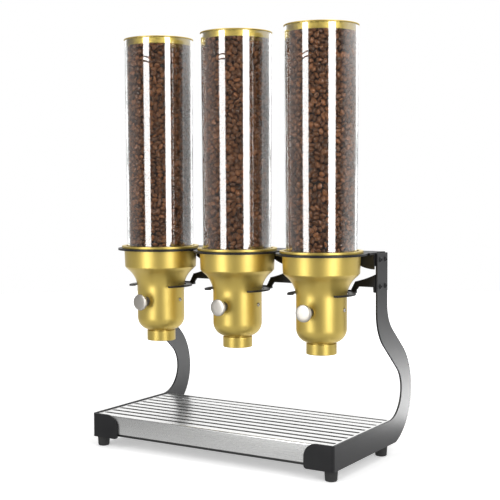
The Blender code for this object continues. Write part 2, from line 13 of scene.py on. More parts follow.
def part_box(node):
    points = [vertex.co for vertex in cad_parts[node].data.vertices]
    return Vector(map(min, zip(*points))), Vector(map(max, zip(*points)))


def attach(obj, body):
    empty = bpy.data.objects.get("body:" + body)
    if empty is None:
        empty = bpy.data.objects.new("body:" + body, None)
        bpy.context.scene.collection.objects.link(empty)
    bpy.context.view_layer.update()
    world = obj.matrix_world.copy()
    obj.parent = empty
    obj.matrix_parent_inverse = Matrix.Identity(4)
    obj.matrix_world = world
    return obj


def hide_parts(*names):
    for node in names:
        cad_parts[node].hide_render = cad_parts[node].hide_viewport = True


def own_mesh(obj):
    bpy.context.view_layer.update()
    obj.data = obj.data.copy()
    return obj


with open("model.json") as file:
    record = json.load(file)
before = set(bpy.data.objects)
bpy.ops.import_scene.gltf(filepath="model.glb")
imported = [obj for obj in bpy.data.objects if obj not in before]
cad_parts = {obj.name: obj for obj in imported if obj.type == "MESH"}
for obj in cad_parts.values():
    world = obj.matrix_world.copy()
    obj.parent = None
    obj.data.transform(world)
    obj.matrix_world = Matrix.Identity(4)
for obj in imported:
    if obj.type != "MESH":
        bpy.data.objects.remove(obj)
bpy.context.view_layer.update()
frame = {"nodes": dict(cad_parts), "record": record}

# Driving sizes in metres. A canister's heights are measured from the rim, and its depths from its own axis.

SIDES = ("left", "middle", "right")
SHEET = 0.003
STEEL = 0.0015
GAP = 0.0003
WELD = 0.000004
TUBE_LOW_RADIUS = 0.0541
TUBE_TOP_RADIUS = 0.0559
TUBE_WALL = 0.003
TUBE_TOP = 0.3418
TUBE_FOOT = -0.0197
BODY_RADIUS = 0.0390
BODY_WALL = 0.003
SPOUT_RADIUS = 0.0235
SPOUT_END = -0.153
KNOB_Z = -0.0855
KNOB_FACE = 0.0590
KNOB_BACK = KNOB_FACE - 0.0045
SCREW_Z = -0.084
PITCH = 0.1518


def middle_of(node):
    low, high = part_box(node)
    return (low + high) / 2


ROW_Y = middle_of("tube_middle").y
RIM_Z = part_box("tube_middle")[0].z - TUBE_FOOT
AT_RIM = {side: Matrix.Translation((middle_of("tube_" + side).x, ROW_Y, RIM_Z)) for side in SIDES}
TO_FRONT = Matrix.Rotation(math.radians(90), 4, "X")
TO_RIGHT = Matrix.Rotation(math.radians(90), 4, "Y")
ALONG_X = Matrix(((0, 0, 1, 0), (1, 0, 0, 0), (0, 1, 0, 0), (0, 0, 0, 1)))
ALONG_Y = Matrix(((1, 0, 0, 0), (0, 0, -1, 0), (0, 1, 0, 0), (0, 0, 0, 1)))
ROW = Matrix.Translation((0, ROW_Y, 0))


# Materials

class Nodes:
    """A material's node tree, with short calls to add and link nodes."""

    def __init__(self, name):
        self.material = bpy.data.materials.new(name)
        self.material.use_nodes = True
        self.tree = self.material.node_tree
        self.shader = self.tree.nodes["Principled BSDF"]

    def set(self, **values):
        for key, value in values.items():
            self.shader.inputs[key.replace("_", " ")].default_value = value

    def add(self, kind, links=None, **settings):
        node = self.tree.nodes.new(kind)
        for key, value in settings.items():
            if key in node.inputs:
                node.inputs[key].default_value = value
            else:
                setattr(node, key, value)
        for key, source in (links or {}).items():
            self.tree.links.new(source, node.inputs[key])
        return node

    def link(self, source, key):
        self.tree.links.new(source, self.shader.inputs[key])

    def noise(self, scale, detail=2.0, roughness=0.5, stretch=(1, 1, 1)):
        place = self.add("ShaderNodeTexCoord").outputs["Object"]
        at = self.add("ShaderNodeMapping", {"Vector": place}, Scale=stretch).outputs["Vector"]
        return self.add("ShaderNodeTexNoise", {"Vector": at}, Scale=scale, Detail=detail,
                        Roughness=roughness).outputs["Fac"]

    def ramp(self, factor, stops):
        """Colour between two stops, each a position and a colour."""
        node = self.add("ShaderNodeValToRGB", {"Fac": factor})
        for element, (position, colour) in zip(node.color_ramp.elements, stops):
            element.position = position
            element.color = (*colour, 1.0)
        return node.outputs["Color"]

    def range(self, factor, low, high):
        node = self.add("ShaderNodeMapRange", {"Value": factor})
        node.inputs["To Min"].default_value = low
        node.inputs["To Max"].default_value = high
        return node.outputs["Result"]

    def bump(self, height, strength, distance):
        node = self.add("ShaderNodeBump", {"Height": height}, Strength=strength, Distance=distance)
        return node.outputs["Normal"]

    def surface(self, tone, dark, pale, grain, roughness, strength, distance, spread=0.2):
        """Colour between two tones by one pattern, and roughness and relief by another."""
        self.link(self.ramp(tone, [(0.5 - spread, dark), (0.5 + spread, pale)]), "Base Color")
        self.link(self.range(grain, *roughness), "Roughness")
        self.link(self.bump(grain, strength, distance), "Normal")


def black_powder_coat():
    n = Nodes("black_powder_coat")
    grain = n.noise(2200.0, 3.0, 0.6)
    n.surface(n.noise(30.0), (0.005, 0.005, 0.006), (0.009, 0.009, 0.010), grain, (0.34, 0.48), 0.30, 0.00010)
    n.set(IOR=1.42)
    return n.material


def gold_satin():
    n = Nodes("gold_satin")
    lines = n.noise(1.0, 3.0, 0.6, stretch=(4.0, 4.0, 2600.0))
    n.surface(n.noise(22.0), (0.68, 0.51, 0.125), (0.75, 0.57, 0.150), lines, (0.38, 0.48), 0.10, 0.00006,
              spread=0.25)
    n.set(Metallic=1.0, Coat_Weight=0.35, Coat_Roughness=0.30)
    return n.material


def knob_metal():
    n = Nodes("knob_metal")
    grain = n.noise(3000.0)
    n.surface(n.noise(90.0), (0.52, 0.49, 0.44), (0.60, 0.57, 0.52), grain, (0.30, 0.40), 0.15, 0.00005)
    n.set(Metallic=1.0)
    return n.material


def stainless():
    n = Nodes("stainless")
    lines = n.noise(1.0, 3.0, 0.6, stretch=(18.0, 2400.0, 2400.0))
    n.surface(n.noise(12.0), (0.82, 0.82, 0.81), (0.88, 0.88, 0.87), lines, (0.22, 0.34), 0.12, 0.00005)
    n.set(Metallic=1.0)
    return n.material


def tray_steel_painted_shade():
    """Sheet of the tray under the cover, coloured near black instead of bright steel: painted shade, since
    little light reaches it.
    """
    n = Nodes("tray_steel_painted_shade")
    lines = n.noise(1.0, 3.0, 0.6, stretch=(18.0, 1500.0, 1500.0))
    # Near-black base colours: painted shade in the tray seen through the slots.
    n.surface(lines, (0.05, 0.05, 0.05), (0.08, 0.08, 0.08), lines, (0.40, 0.52), 0.12, 0.00005)
    n.set(Metallic=1.0)
    return n.material


def dark_rubber():
    n = Nodes("dark_rubber")
    grain = n.noise(1500.0, 3.0)
    n.surface(grain, (0.012, 0.012, 0.012), (0.024, 0.024, 0.024), grain, (0.62, 0.82), 0.3, 0.0001)
    return n.material


def inner_plastic():
    n = Nodes("inner_plastic")
    grain = n.noise(1200.0)
    n.surface(grain, (0.08, 0.08, 0.08), (0.11, 0.11, 0.11), grain, (0.48, 0.62), 0.2, 0.0001)
    return n.material


def spring_steel():
    n = Nodes("spring_steel")
    grain = n.noise(1800.0)
    n.surface(grain, (0.13, 0.12, 0.11), (0.22, 0.21, 0.20), grain, (0.30, 0.48), 0.15, 0.00005)
    n.set(Metallic=1.0)
    return n.material


def clear_acrylic():
    """Clear wall that lamps shine through, with a trace of haze and fine wiping marks."""
    n = Nodes("clear_acrylic")
    marks = n.noise(1.0, 3.0, stretch=(260.0, 260.0, 16.0))
    n.set(Base_Color=(0.97, 0.985, 0.98, 1.0), Transmission_Weight=1.0, IOR=1.50)
    n.set(Coat_Weight=1.0, Coat_IOR=1.75, Coat_Roughness=0.0)
    n.link(n.range(marks, 0.0, 0.008), "Roughness")
    path = n.add("ShaderNodeLightPath")
    through = n.add("ShaderNodeBsdfTransparent", Color=(0.93, 0.95, 0.945, 1.0))
    mix = n.add("ShaderNodeMixShader", {0: path.outputs["Is Shadow Ray"]})
    n.tree.links.new(n.shader.outputs[0], mix.inputs[1])
    n.tree.links.new(through.outputs[0], mix.inputs[2])
    n.tree.links.new(mix.outputs[0], n.tree.nodes["Material Output"].inputs["Surface"])
    return n.material


def roasted_bean():
    n = Nodes("roasted_bean")
    tint = n.add("ShaderNodeVertexColor", layer_name="tint").outputs["Color"]
    mottle = n.noise(700.0, 3.0, 0.6)
    shade = n.ramp(mottle, [(0.2, (0.55, 0.55, 0.55)), (0.8, (1.3, 1.3, 1.3))])
    colour = n.add("ShaderNodeMix", data_type="RGBA", blend_type="MULTIPLY")
    colour.inputs["Factor"].default_value = 1.0
    n.tree.links.new(tint, colour.inputs["A"])
    n.tree.links.new(shade, colour.inputs["B"])
    n.link(colour.outputs["Result"], "Base Color")
    n.link(n.range(mottle, 0.22, 0.40), "Roughness")
    n.link(n.bump(mottle, 0.4, 0.0004), "Normal")
    return n.material


def pale_floor():
    n = Nodes("pale_floor")
    grain = n.noise(40.0)
    n.link(n.ramp(grain, [(0.3, (0.93, 0.93, 0.93)), (0.7, (0.95, 0.95, 0.95))]), "Base Color")
    n.link(n.range(grain, 0.75, 0.85), "Roughness")
    # Emission that rises from 0.42 near the object to 1.10 beyond a metre: painted light, a glow that keeps
    # the far floor as white as the backdrop.
    at = n.add("ShaderNodeTexCoord").outputs["Object"]
    away = n.add("ShaderNodeVectorMath", {0: at}, operation="LENGTH").outputs["Value"]
    glow = n.add("ShaderNodeMapRange", {"Value": away}, interpolation_type="SMOOTHSTEP")
    for key, value in (("From Min", 0.45), ("From Max", 1.10), ("To Min", 0.42), ("To Max", 1.10)):
        glow.inputs[key].default_value = value
    n.link(glow.outputs["Result"], "Emission Strength")
    n.set(Emission_Color=(1.0, 1.0, 1.0, 1.0))
    return n.material


LOOKS = {make.__name__: make() for make in (
    black_powder_coat, gold_satin, knob_metal, stainless, tray_steel_painted_shade, dark_rubber, inner_plastic,
    spring_steel, clear_acrylic, roasted_bean, pale_floor)}


# Shape helpers

def arc(centre, radius, start, end, steps):
    angles = [math.radians(start + (end - start) * i / steps) for i in range(steps + 1)]
    return [(centre[0] + radius * math.cos(a), centre[1] + radius * math.sin(a)) for a in angles]


def circle(centre, radius, steps):
    return arc(centre, radius, 0.0, 360.0, steps)[:-1]


def rounded_box(low, high, radii, steps=8):
    corners = ((low[0], low[1], 1, 1, 180), (high[0], low[1], -1, 1, 270),
               (high[0], high[1], -1, -1, 0), (low[0], high[1], 1, -1, 90))
    points = []
    for (x, y, sx, sy, start), radius in zip(corners, radii):
        if radius == 0.0:
            points.append((x, y))
        else:
            points += arc((x + sx * radius, y + sy * radius), radius, start, start + 90, steps)
    return points


def mesh_from(name, points, faces):
    data = bpy.data.meshes.new(name)
    data.from_pydata(points, [], faces)
    data.update()
    return data


def tidy_mesh(data, flatten=False):
    """The mesh welded, with its faces turned outwards and, if asked, its flat stretches made single faces."""
    shape = bmesh.new()
    shape.from_mesh(data)
    bmesh.ops.remove_doubles(shape, verts=shape.verts, dist=WELD)
    if flatten:
        level = math.radians(0.5)
        bmesh.ops.dissolve_limit(shape, angle_limit=level, verts=shape.verts, edges=shape.edges)
    bmesh.ops.recalc_face_normals(shape, faces=shape.faces)
    shape.to_mesh(data)
    shape.free()
    return data


def lathe(name, profile, segments=96, closed=True):
    """A turned mesh from a (radius, height) profile that runs down its outer side."""
    rings = len(profile)
    points = []
    for step in range(segments):
        angle = 2 * math.pi * step / segments
        points += [(r * math.cos(angle), r * math.sin(angle), z) for r, z in profile]
    faces = []
    last = rings if closed else rings - 1
    for step in range(segments):
        a = step * rings
        b = (step + 1) % segments * rings
        for i in range(last):
            j = (i + 1) % rings
            faces.append((a + i, a + j, b + j, b + i))
    return tidy_mesh(mesh_from(name, points, faces))


def soften(profile, radius, closed=True, steps=2, limit=25.0):
    """The profile with its sharp corners rounded, and the runs beside them held flat for even shading."""
    out = []
    count = len(profile)
    for i, point in enumerate(profile):
        if not closed and i in (0, count - 1):
            out.append(point)
            continue
        here = Vector(point)
        back = Vector(profile[i - 1]) - here
        ahead = Vector(profile[(i + 1) % count]) - here
        turn = math.degrees(math.pi - back.angle(ahead))
        if turn < limit:
            out.append(point)
            continue
        reach = min(radius, back.length * 0.4, ahead.length * 0.4)
        start = here + back.normalized() * reach
        end = here + ahead.normalized() * reach
        if back.length > 5 * reach:
            out.append(tuple(here + back.normalized() * reach * 2))
        for k in range(steps + 1):
            t = k / steps
            spot = start * (1 - t) ** 2 + here * 2 * t * (1 - t) + end * t ** 2
            out.append((spot.x, spot.y))
        if ahead.length > 5 * reach:
            out.append(tuple(here + ahead.normalized() * reach * 2))
    return out


def plate(name, outlines, thickness):
    """A flat plate with holes, centred on its own XY plane."""
    curve = bpy.data.curves.new(name, "CURVE")
    curve.dimensions = "2D"
    curve.fill_mode = "BOTH"
    curve.extrude = thickness / 2
    for points in outlines:
        spline = curve.splines.new("POLY")
        spline.points.add(len(points) - 1)
        for point, (x, y) in zip(spline.points, points):
            point.co = (x, y, 0.0, 1.0)
        spline.use_cyclic_u = True
    drawn = bpy.data.objects.new(name, curve)
    bpy.context.scene.collection.objects.link(drawn)
    graph = bpy.context.evaluated_depsgraph_get()
    data = bpy.data.meshes.new_from_object(drawn.evaluated_get(graph))
    bpy.data.objects.remove(drawn, do_unlink=True)
    bpy.data.curves.remove(curve)
    return tidy_mesh(data, flatten=True)


def slab(name, outline, thickness):
    """A flat plate without holes, as two outline faces joined by a rim."""
    count = len(outline)
    half = thickness / 2
    points = [(x, y, -half) for x, y in outline] + [(x, y, half) for x, y in outline]
    faces = [tuple(reversed(range(count))), tuple(range(count, 2 * count))]
    faces += [(i, (i + 1) % count, count + (i + 1) % count, count + i) for i in range(count)]
    return tidy_mesh(mesh_from(name, points, faces))


def box(name, low, high):
    x0, y0, z0 = low
    x1, y1, z1 = high
    return slab_between(name, [(x0, y0), (x1, y0), (x1, y1), (x0, y1)], z0, z1)


def slab_between(name, outline, low, high):
    """The same slab, from one height to another."""
    data = slab(name, outline, high - low)
    data.transform(Matrix.Translation((0, 0, (high + low) / 2)))
    return data


def moved(data, matrix):
    data.transform(matrix)
    return data


def cut(data, others, operation="DIFFERENCE"):
    """The mesh after an exact Boolean with each of the others."""
    target = bpy.data.objects.new("target", data)
    bpy.context.scene.collection.objects.link(target)
    tools = []
    for number, other in enumerate(others):
        tool = bpy.data.objects.new("tool_%d" % number, other)
        bpy.context.scene.collection.objects.link(tool)
        tools.append(tool)
        step = target.modifiers.new("step", "BOOLEAN")
        step.operation = operation
        step.object = tool
        step.solver = "EXACT"
    bpy.context.view_layer.update()
    graph = bpy.context.evaluated_depsgraph_get()
    made = bpy.data.meshes.new_from_object(target.evaluated_get(graph))
    for item in [target] + tools:
        bpy.data.objects.remove(item, do_unlink=True)
    return made


def piece(name, data, look, body, replaces=(), matrix=None, bevel=0.0, smooth=35.0):
    """A finished piece: shaded, placed, riding on its body and standing for its CAD nodes."""
    made = bpy.data.objects.new(name, data)
    bpy.context.scene.collection.objects.link(made)
    data.materials.clear()
    data.materials.append(LOOKS[look])
    data.shade_smooth()
    data.set_sharp_from_angle(angle=math.radians(smooth))
    if matrix is not None:
        made.matrix_world = matrix
    if bevel:
        edge = made.modifiers.new("edge", "BEVEL")
        edge.width = bevel
        edge.segments = 2
        edge.limit_method = "ANGLE"
        edge.angle_limit = math.radians(40)
        edge.harden_normals = True
    bpy.context.view_layer.update()
    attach(made, body)
    if replaces:
        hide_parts(*replaces)
    return made


# The stand

BAR_BOTTOM = 0.016
BAR_TOP = 0.0545
HALF_WIDTH = 0.2223
FRONT_Y = -0.0953
REAR_Y = 0.1795
POST_FRONT_Y = 0.049
POST_REAR_Y = 0.0855
POST_TOP = RIM_Z - 0.0005
BRACKET_END = HALF_WIDTH - SHEET - GAP
BRACKET_REAR = POST_REAR_Y - 0.002


def tangent_heading(upper, upper_radius, lower, lower_radius):
    """Heading, from the lower arc's centre, of the point where an S-curve's straight joins that arc."""
    across = lower[0] - upper[0]
    down = lower[1] - upper[1]
    turn = math.acos(-(upper_radius + lower_radius) / math.hypot(across, down))
    return math.degrees(math.atan2(down, across) + turn)


def cheek_outline():
    """The cheek in (y, z): a low bar, a post that sweeps up from it in an S-curve, and a rear bulge."""
    front_sweep = 0.072
    front_sweep_z = 0.2315
    rear_sweep = 0.056
    rear_sweep_z = 0.2425
    foot_sweep = 0.045
    foot_sweep_y = 0.097
    bulge_over = 0.090
    bulge_under = 0.084
    bulge_z = 0.0965
    corner = 0.0015
    bar_front = FRONT_Y + 0.004
    upper_front = (POST_FRONT_Y + front_sweep, front_sweep_z)
    upper_rear = (POST_REAR_Y + rear_sweep, rear_sweep_z)
    lower_front = (foot_sweep_y, BAR_TOP + foot_sweep)
    bulge_upper = (REAR_Y - bulge_over, bulge_z)
    bulge_lower = (REAR_Y - bulge_under, bulge_z)
    front = tangent_heading(upper_front, front_sweep, lower_front, foot_sweep)
    rear = tangent_heading(upper_rear, rear_sweep, bulge_upper, bulge_over)
    heel = math.degrees(math.asin((bulge_z - BAR_BOTTOM) / bulge_under))
    points = [(bar_front, BAR_BOTTOM)]
    points += arc(bulge_lower, bulge_under, -heel, 0, 36)
    points += arc(bulge_upper, bulge_over, 0, rear, 28)[1:]
    points += arc(upper_rear, rear_sweep, 180 + rear, 180, 24)
    points += arc((POST_REAR_Y - corner, POST_TOP - corner), corner, 0, 90, 6)
    points += arc((POST_FRONT_Y + corner, POST_TOP - corner), corner, 90, 180, 6)
    points += arc(upper_front, front_sweep, 180, 180 + front, 28)
    points += arc(lower_front, foot_sweep, front, -90, 40)
    points.append((bar_front, BAR_TOP))
    return points


def cheek_mesh():
    """The right cheek with its bent front flange and its foot rail."""
    bend = 0.004
    flange_end = 0.1725
    flange_radii = (0.005, 0.0, 0.0, 0.021)
    past_cheek = 0.230
    strip_end = 0.160
    rail_inner = 0.196
    rail_rear = 0.108
    side = moved(slab("cheek", cheek_outline(), SHEET),
                 Matrix.Translation((HALF_WIDTH - SHEET / 2, 0, 0)) @ ALONG_X)
    outer = arc((HALF_WIDTH - bend, FRONT_Y + bend), bend, -90, 0, 10)
    inner = arc((HALF_WIDTH - bend, FRONT_Y + bend), bend - SHEET, 0, -90, 6)
    strip = [(strip_end, FRONT_Y)] + outer + [(HALF_WIDTH - SHEET, FRONT_Y + bend)] + inner[1:]
    strip += [(strip_end, FRONT_Y + SHEET)]
    flange = slab_between("flange", strip, BAR_BOTTOM, BAR_TOP)
    shape = rounded_box((flange_end, BAR_BOTTOM), (past_cheek, BAR_TOP), flange_radii, 24)
    trim = moved(slab("trim", shape, 0.030), Matrix.Translation((0, FRONT_Y + 0.005, 0)) @ ALONG_Y)
    flange = cut(flange, [trim], "INTERSECT")
    rail = box("rail", (rail_inner, FRONT_Y + 0.001, BAR_BOTTOM),
               (HALF_WIDTH - 0.001, rail_rear, BAR_BOTTOM + SHEET))
    return cut(side, [flange, rail], "UNION")


def mirrored(data, name):
    """A copy of the mesh, mirrored left to right."""
    copy = data.copy()
    copy.name = name
    copy.transform(Matrix.Scale(-1, 4, (1, 0, 0)))
    copy.flip_normals()
    return copy


def cover_mesh():
    """The cover: a slotted deck, folded down into an apron at the front and a shallow lip at the rear."""
    half = HALF_WIDTH - SHEET - 0.0007
    top = 0.0530
    front = FRONT_Y + SHEET + GAP
    rear = 0.1120
    slots = 10
    last_slot = 0.1040
    slot_pitch = 0.0197
    slot_x = 0.2137
    slot_y = 0.0038
    slot_corner = 0.0020
    apron_end = 0.0240
    lip_end = 0.0465
    bend = 0.0022
    lap = 0.003
    outlines = [rounded_box((-half, front + STEEL), (half, rear - STEEL), (0.0,) * 4)]
    for number in range(slots):
        y = last_slot - number * slot_pitch
        outlines.append(rounded_box((-slot_x, y - slot_y), (slot_x, y + slot_y), (slot_corner,) * 4, 6))
    deck = moved(plate("deck", outlines, STEEL), Matrix.Translation((0, 0, top - STEEL / 2)))
    apron = [(front, apron_end), (front + STEEL, apron_end)]
    apron += arc((front + bend, top - bend), bend - STEEL, 180, 90, 4)
    apron += [(front + STEEL + lap, top - STEEL), (front + STEEL + lap, top)]
    apron += arc((front + bend, top - bend), bend, 90, 180, 8)
    lip = [(rear, lip_end), (rear - STEEL, lip_end)]
    lip += arc((rear - bend, top - bend), bend - STEEL, 0, 90, 4)
    lip += [(rear - STEEL - lap, top - STEEL), (rear - STEEL - lap, top)]
    lip += arc((rear - bend, top - bend), bend, 90, 0, 8)
    folds = [moved(slab("fold", outline, 2 * half), ALONG_X) for outline in (apron, lip)]
    return cut(deck, folds, "UNION")


def foot_mesh():
    top = BAR_BOTTOM - GAP
    top_radius = 0.0100
    low_radius = 0.0092
    sole_radius = 0.0080
    chamfer = 0.0015
    profile = [(0.0, top), (top_radius, top), (low_radius, chamfer), (sole_radius, 0.0), (0.0, 0.0)]
    return lathe("foot", soften(profile, 0.0006, closed=False), 48, closed=False)


def button_screw(name, base, radius, height, bow, socket, shank, tip, segments):
    """Button-head screw with a round socket, head towards +Z, its bowed edge drawn at the given angles."""
    socket_floor = base + 0.0008
    crown = base + 0.0019
    profile = [(0.0, socket_floor), (socket, socket_floor), (socket, crown)]
    profile += [(radius * math.cos(a), base + height * math.sin(a)) for a in bow]
    profile += [(shank, base), (shank, tip), (0.0, tip)]
    return lathe(name, profile, segments, closed=False)


def screw_mesh():
    """One of the right cheek's screws, head outwards."""
    screw = button_screw("screw", HALF_WIDTH + GAP, radius=0.0042, height=0.0019,
                         bow=(1.15, 0.9, 0.6, 0.3, 0.0), socket=0.0016, shank=0.0020, tip=0.2135, segments=36)
    return moved(screw, TO_RIGHT)


def bracket_tab(side, front, low, high):
    """The tab that lies against the inside of a cheek: side is -1 on the left and 1 on the right."""
    outline = rounded_box((front, low), (BRACKET_REAR, high), (0.003,) * 4, 6)
    at = Matrix.Translation((side * (BRACKET_END - SHEET / 2), 0, 0)) @ ALONG_X
    return moved(slab("tab", outline, SHEET), at)


def upper_bracket_mesh():
    """The plate that holds the hoppers by their collars, with a web under it and a tab at each end."""
    strip_front = 0.030
    web_front = 0.0435
    web_top = -0.001
    notch = 0.0425
    shallow = -0.0140
    deep = -0.0245
    tab_low = -0.0200
    ring = 0.0700
    hole = 0.0618
    top = 0.001
    under = -0.002
    meet = math.degrees(math.asin(strip_front / ring))
    outline = [(-BRACKET_END, BRACKET_REAR), (-BRACKET_END, strip_front)]
    for number in (-1, 0, 1):
        outline += arc((number * PITCH, 0.0), ring, 180 - meet, 360 + meet, 64)
    outline += [(BRACKET_END, strip_front), (BRACKET_END, BRACKET_REAR)]
    holes = [circle((number * PITCH, 0.0), hole, 96) for number in (-1, 0, 1)]
    base = moved(plate("plate", [outline] + holes, top - under),
                 Matrix.Translation((0, 0, (top + under) / 2)))
    at_web = Matrix.Translation((0, web_front + SHEET / 2, 0)) @ ALONG_Y
    span = PITCH - 2 * notch
    sag = shallow - deep
    sweep = (span * span / 4 + sag * sag) / (2 * sag)
    half_angle = math.degrees(math.asin(span / 2 / sweep))
    others = []
    for side in (-1, 1):
        middle = side * PITCH / 2
        web = [(middle + span / 2, web_top), (middle - span / 2, web_top)]
        web += arc((middle, deep + sweep), sweep, 270 - half_angle, 270 + half_angle, 28)
        others.append(moved(slab("web", web, SHEET), at_web))
        start = PITCH + notch
        wing_angle = half_angle * (BRACKET_END - start) / (span / 2)
        wing = [(BRACKET_END, web_top), (start, web_top)]
        wing += arc((BRACKET_END, deep + sweep), sweep, 270 - wing_angle, 270, 14)
        if side < 0:
            wing = [(-x, z) for x, z in reversed(wing)]
        others.append(moved(slab("wing", wing, SHEET), at_web))
        others.append(bracket_tab(side, web_front, tab_low, web_top))
    return cut(base, others, "UNION")


def fork_outline(number):
    """One canister's fork: a ring that is open at the front, with round tips."""
    inner = 0.0424
    outer = 0.0525
    opening = 57.0
    tip = (outer - inner) / 2
    reach = (outer + inner) / 2
    centre = (number * PITCH, 0.0)
    left = math.radians(270 - opening)
    right = math.radians(270 + opening)
    left_tip = (centre[0] + reach * math.cos(left), reach * math.sin(left))
    right_tip = (centre[0] + reach * math.cos(right), reach * math.sin(right))
    points = arc(centre, outer, -90 + opening, 270 - opening, 64)
    points += arc(left_tip, tip, 270 - opening, 450 - opening, 14)[1:-1]
    points += arc(centre, inner, 270 - opening, -90 + opening, 56)
    points += arc(right_tip, tip, 90 + opening, 270 + opening, 14)[1:-1]
    return points


def lower_web_outline(fork_overlap):
    """The web in (x, z): its top edge swings up between canisters, and two legs reach down behind each."""
    low = -0.0522
    sweep = 0.155
    sweep_z = 0.1068
    leg_top = 0.0337
    leg_foot = 0.0265
    leg_foot_z = -0.0580
    leg_outer = 0.0356
    leg_corner = 0.0399
    start = math.degrees(math.asin(leg_top / sweep))
    middle = math.degrees(math.asin(PITCH / 2 / sweep))
    wing = math.degrees(math.asin((BRACKET_END - PITCH) / sweep))
    points = [(-BRACKET_END, low)]
    for number in (-1, 0, 1):
        axis = number * PITCH
        points += [(axis - leg_corner, low), (axis - leg_outer, leg_foot_z)]
        points += [(axis - leg_outer, fork_overlap), (axis + leg_outer, fork_overlap)]
        points += [(axis + leg_outer, leg_foot_z), (axis + leg_corner, low)]
    points.append((BRACKET_END, low))
    for number in (1, 0, -1):
        axis = number * PITCH
        right = wing if number == 1 else middle
        left = wing if number == -1 else middle
        points += arc((axis, sweep_z), sweep, 270 + right, 270 + start, 20)
        points += [(axis + leg_foot, leg_foot_z), (axis - leg_foot, leg_foot_z)]
        points += arc((axis, sweep_z), sweep, 270 - start, 270 - left, 20)[:None if number == -1 else -1]
    return points


def lower_bracket_mesh():
    """The web that steadies the hoppers, with a tongue and a fork to each and a tab at each end."""
    web_front = 0.0470
    under = -0.0625
    top = -0.0600
    tongue = 0.0356
    tongue_front = 0.0435
    tab_low = -0.0610
    tab_top = -0.0345
    base = moved(plate("web", [lower_web_outline(top - 0.001)], SHEET),
                 Matrix.Translation((0, web_front + SHEET / 2, 0)) @ ALONG_Y)
    others = []
    for number in (-1, 0, 1):
        middle = number * PITCH
        others.append(box("tongue", (middle - tongue, tongue_front, under),
                          (middle + tongue, web_front + SHEET, top)))
        others.append(slab_between("fork", fork_outline(number), under, top))
    for side in (-1, 1):
        others.append(bracket_tab(side, web_front, tab_low, tab_top))
    return cut(base, others, "UNION")


def build_stand():
    """The stand, the cover that lies in it and its screws and feet."""
    cheek = cheek_mesh()
    piece("fine_cheek_right", cheek, "black_powder_coat", "stand", ["side_cheek_right"], ROW, 0.0004)
    piece("fine_cheek_left", mirrored(cheek, "cheek_left"), "black_powder_coat", "stand",
          ["side_cheek_left"], ROW, 0.0004)
    at_rim = Matrix.Translation((0, ROW_Y, RIM_Z))
    piece("fine_upper_bracket", upper_bracket_mesh(), "black_powder_coat", "stand",
          ["upper_bracket"], at_rim, 0.0003)
    piece("fine_lower_bracket", lower_bracket_mesh(), "black_powder_coat", "stand",
          ["lower_bracket"], at_rim, 0.0003)
    piece("fine_cover", cover_mesh(), "stainless", "cover", ["slotted_cover"], ROW, 0.0002)
    foot = foot_mesh()
    screw = screw_mesh()
    for side, data in (("right", screw), ("left", mirrored(screw, "screw_left"))):
        for spot in ("front", "rear"):
            name = "foot_%s_%s" % (spot, side)
            at = middle_of(name)
            piece("fine_" + name, foot, "dark_rubber", "stand", [name], Matrix.Translation((at.x, at.y, 0)))
            for level in ("upper", "lower"):
                name = "bracket_screw_%s_%s_%s" % (level, spot, side)
                at = middle_of(name)
                piece("fine_" + name, data, "black_powder_coat", "stand", [name],
                      Matrix.Translation((0, at.y, at.z)))


# The canisters

def tube_radius(height):
    """Outer radius of the slightly tapered tube at a height from the rim."""
    share = (height - TUBE_FOOT) / (TUBE_TOP - TUBE_FOOT)
    return TUBE_LOW_RADIUS + share * (TUBE_TOP_RADIUS - TUBE_LOW_RADIUS)


def tube_mesh():
    profile = [(TUBE_TOP_RADIUS, TUBE_TOP), (TUBE_LOW_RADIUS, TUBE_FOOT),
               (TUBE_LOW_RADIUS - TUBE_WALL, TUBE_FOOT), (TUBE_TOP_RADIUS - TUBE_WALL, TUBE_TOP)]
    return lathe("tube", soften(profile, 0.0005), 144)


def lid_mesh():
    """A flat lid with a slightly tapered plug skirt that goes into the tube."""
    under = TUBE_TOP + GAP
    top = under + 0.0016
    inside = under + 0.0004
    flange = 0.0571
    skirt_end = under - 0.0100
    skirt = TUBE_TOP_RADIUS - TUBE_WALL - GAP
    skirt_taper = 0.0002
    profile = [(0.0, top), (flange, top), (flange, under), (skirt, under), (skirt - skirt_taper, skirt_end),
               (skirt - 0.0022, skirt_end), (skirt - 0.0020, inside), (0.0, inside)]
    return lathe("lid", soften(profile, 0.0006, closed=False, steps=3), 144, closed=False)


def hopper_profile():
    """The hopper's wall in section: collar, seat of the tube, flare, body and bowl, outside first."""
    seat = 0.0013
    rim = 0.0050
    collar = 0.0638
    skirt = 0.0600
    skirt_end = (0.0588, -0.0298)
    flare_top = 0.0548
    flare_top_inside = 0.0515
    tube_seat = 0.0570
    tube_seat_z = -0.0200
    flare_centre = (0.0794, -0.0660)
    flare_radius = flare_centre[0] - BODY_RADIUS
    bowl_radius = 0.0218
    bowl_centre = (BODY_RADIUS - bowl_radius, -0.1140)
    mouth = 0.0209
    bowl_out = math.degrees(math.acos((SPOUT_RADIUS - bowl_centre[0]) / bowl_radius))
    bowl_in = math.degrees(math.acos((mouth - bowl_centre[0]) / (bowl_radius - BODY_WALL)))
    flare_out = math.degrees(math.acos((flare_centre[0] - flare_top) / flare_radius))
    flare_in = math.degrees(math.acos((flare_centre[0] - flare_top_inside) / (flare_radius + BODY_WALL)))
    outer = [(collar, rim), (collar, seat), (skirt, seat), skirt_end]
    outer += arc(flare_centre, flare_radius, 180 - flare_out, 180, 20)
    outer += arc(bowl_centre, bowl_radius, 0, -bowl_out, 20)
    inner = [(mouth, outer[-1][1])]
    inner += arc(bowl_centre, bowl_radius - BODY_WALL, -bowl_in, 0, 10)
    inner += arc(flare_centre, flare_radius + BODY_WALL, 180, 180 - flare_in, 12)
    inner += [(flare_top_inside, tube_seat_z), (tube_seat, tube_seat_z), (tube_seat, rim)]
    return soften(outer + inner, 0.0005)


